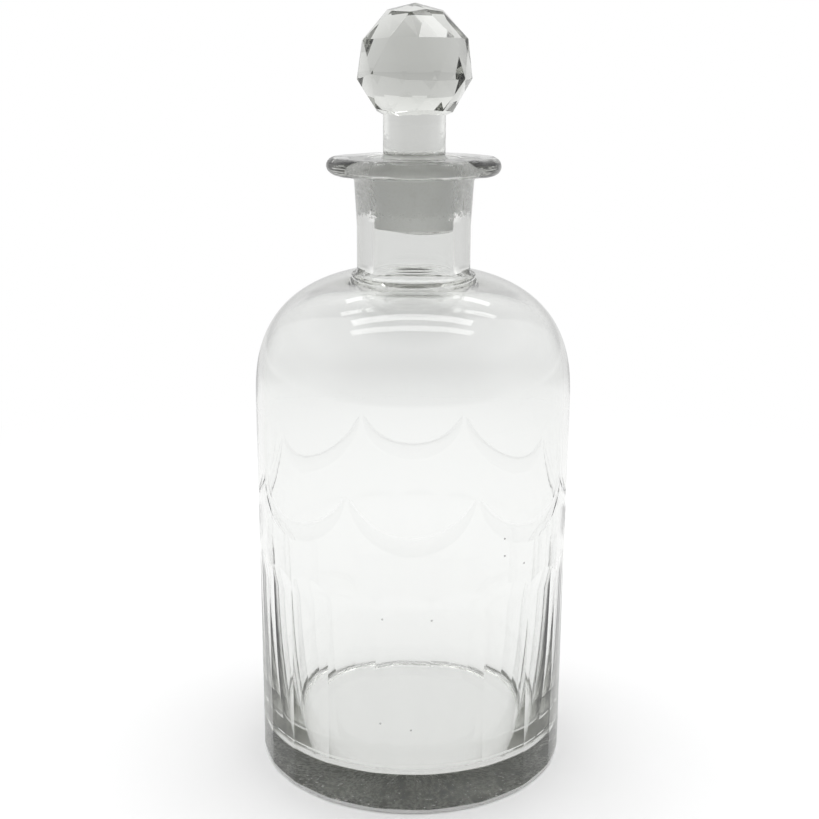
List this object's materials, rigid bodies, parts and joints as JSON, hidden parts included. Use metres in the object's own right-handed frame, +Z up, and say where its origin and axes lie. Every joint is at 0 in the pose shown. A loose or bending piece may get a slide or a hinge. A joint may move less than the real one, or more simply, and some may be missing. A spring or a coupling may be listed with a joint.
{
  "type": "decanter",
  "caption": "Tall round clear glass decanter with a fluted lower body, engraved swags, a narrow neck with a flanged lip and a ground-in stopper topped by a facet-cut ball.",
  "frame": {"origin": "middle of the flat underside of the bottle, on the surface it stands on", "axes": "+Z up along the bottle's axis, -Y towards the viewer of the picture, +X to the viewer's right"},
  "size_m": [0.1166, 0.1166, 0.2806],
  "materials": {
    "bottle_glass": "clear polished glass, ground inside the mouth and worn on the underside",
    "stopper_glass": "clear polished facets on the ball, ground and frosted on the plug"
  },
  "bodies": {
    "bottle": {"bottle": "bottle_glass"},
    "stopper": {"stopper": "stopper_glass"}
  },
  "joints": [
    {"name": "stopper_lift", "type": "slide", "parent": "bottle", "child": "stopper", "axis": [0, 0, 1], "range_m": [0, 0.06]}
  ]
}
